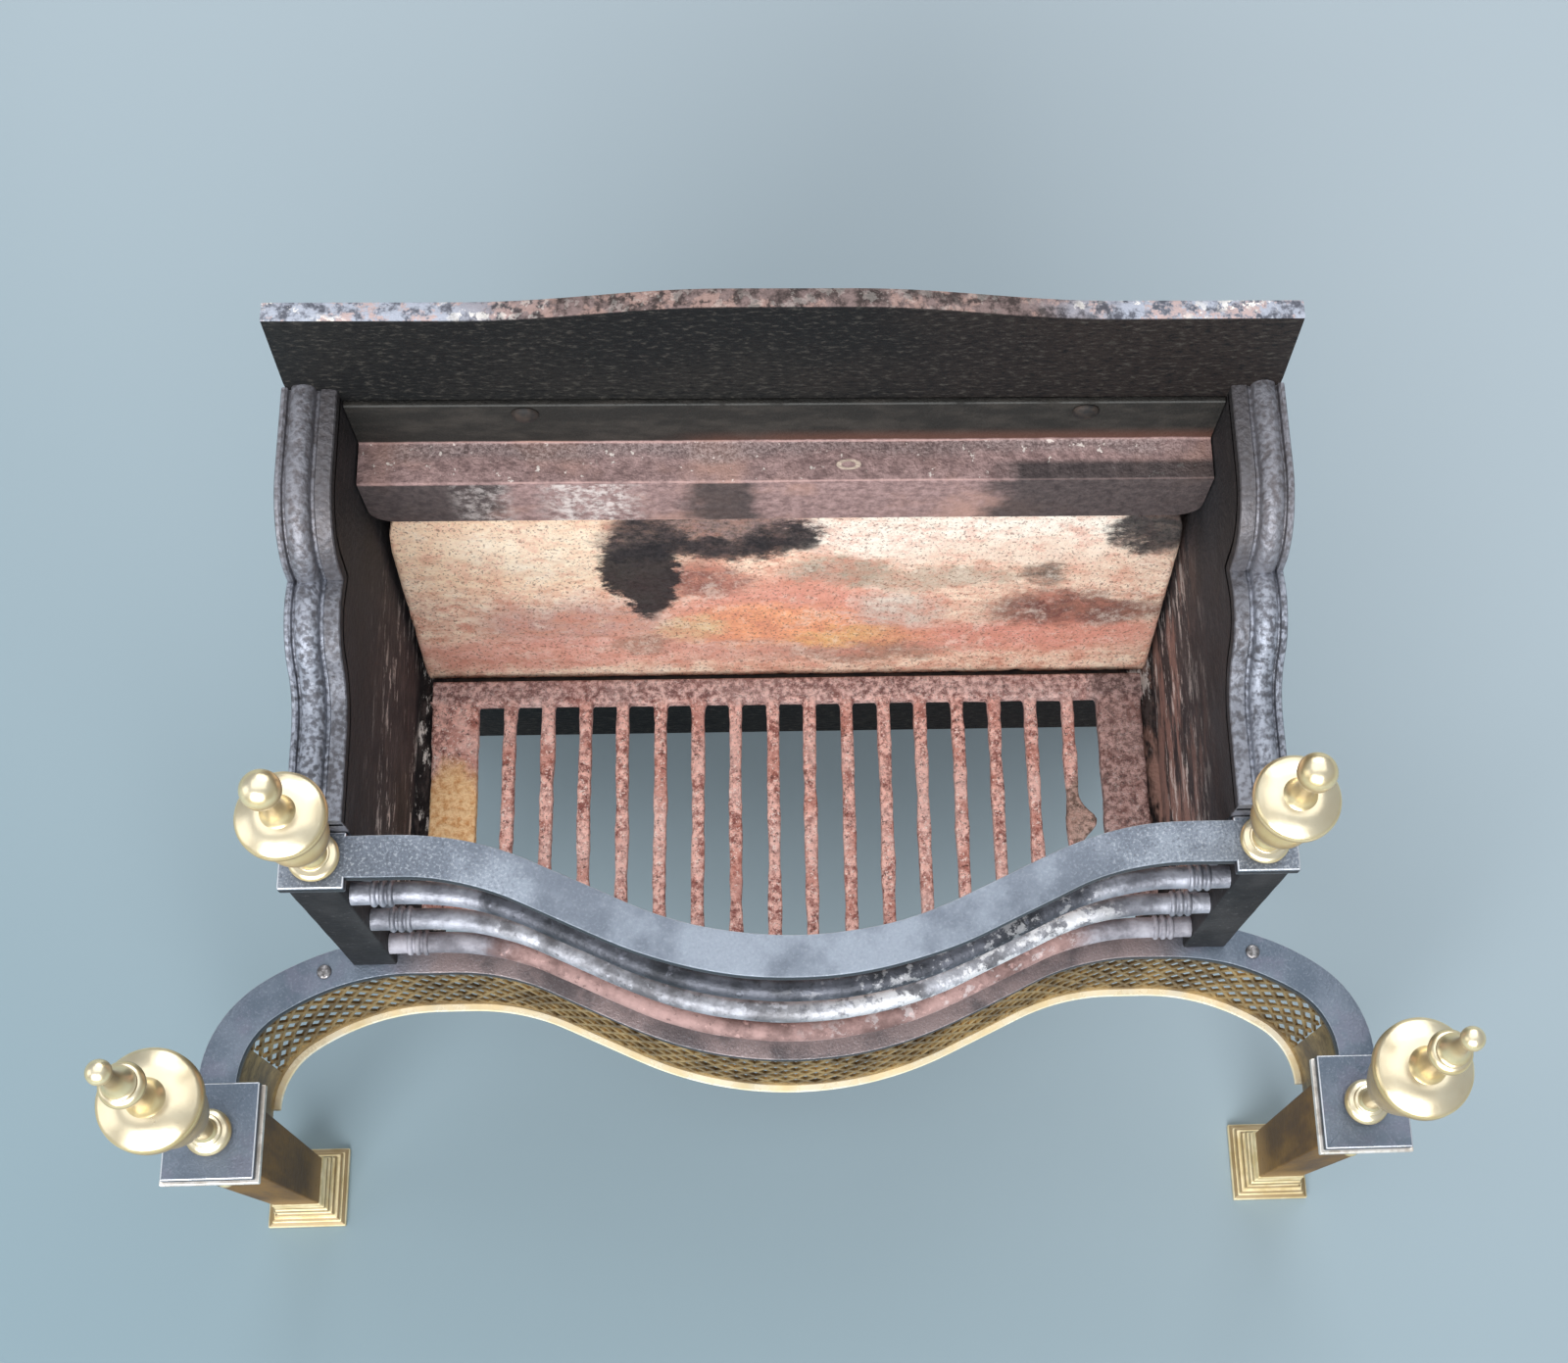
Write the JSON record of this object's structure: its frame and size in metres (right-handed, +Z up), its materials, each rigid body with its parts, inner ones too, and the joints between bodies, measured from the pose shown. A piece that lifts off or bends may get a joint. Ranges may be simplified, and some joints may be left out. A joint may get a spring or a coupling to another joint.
{
  "type": "fire basket",
  "caption": "Serpentine-fronted fire basket with a cast fireback, firebrick, scrolled cheeks, lift-out grate, round front bars, and a pierced fret between brass legs with urn finials.",
  "frame": {"origin": "centre of the footprint, on the floor", "axes": "+X to the right seen from the front, -Y out of the front, +Z up"},
  "size_m": [0.76, 0.394, 0.665],
  "materials": {
    "plate_iron": "black, sooted, bare along the edges",
    "retainer_iron": "burnt brown-grey scale",
    "cheek_iron": "graphite black, rubbed on the mouldings",
    "fired_clay": "matt, sooted and heat stained",
    "burnt_iron": "heat-reddened scale",
    "rail_steel": "satin, dulled by heat",
    "bar_steel": "satin, rusty in the middle",
    "stile_iron": "matt black",
    "fret_brass": "aged, brown in the openings",
    "polished_brass": "polished",
    "fixing_steel": "dull"
  },
  "bodies": {
    "basket": {"back_plate": "plate_iron", "left_cheek": "cheek_iron", "right_cheek": "cheek_iron", "cheek_screws": "fixing_steel", "brick_retainer": "retainer_iron", "retainer_bolts": "fixing_steel", "firebrick": "fired_clay", "brick_shelf": "plate_iron", "shelf_bolts": "fixing_steel", "rear_nuts": "fixing_steel", "top_rail": "rail_steel", "upper_round_bar": "bar_steel", "middle_round_bar": "bar_steel", "lower_round_bar": "bar_steel", "left_stile": "stile_iron", "right_stile": "stile_iron", "lower_rail": "rail_steel", "fret_panel": "fret_brass", "fret_bead": "polished_brass", "fret_brackets": "fret_brass", "fret_rivets": "fixing_steel", "left_leg_cap": "polished_brass", "right_leg_cap": "polished_brass", "left_leg": "polished_brass", "right_leg": "polished_brass", "left_foot": "polished_brass", "right_foot": "polished_brass", "left_rosette": "polished_brass", "right_rosette": "polished_brass", "finial_rods": "fixing_steel", "left_upper_cup": "polished_brass", "right_upper_cup": "polished_brass", "left_upper_cover": "polished_brass", "right_upper_cover": "polished_brass", "left_upper_ball": "polished_brass", "right_upper_ball": "polished_brass", "left_lower_cup": "polished_brass", "right_lower_cup": "polished_brass", "left_lower_cover": "polished_brass", "right_lower_cover": "polished_brass", "left_lower_spire": "polished_brass", "right_lower_spire": "polished_brass"},
    "grate": {"bottom_grate": "burnt_iron"}
  },
  "joints": [
    {"name": "grate_lift", "type": "slide", "parent": "basket", "child": "grate", "axis": [0, 0, 1], "range_m": [0, 0.4]}
  ]
}
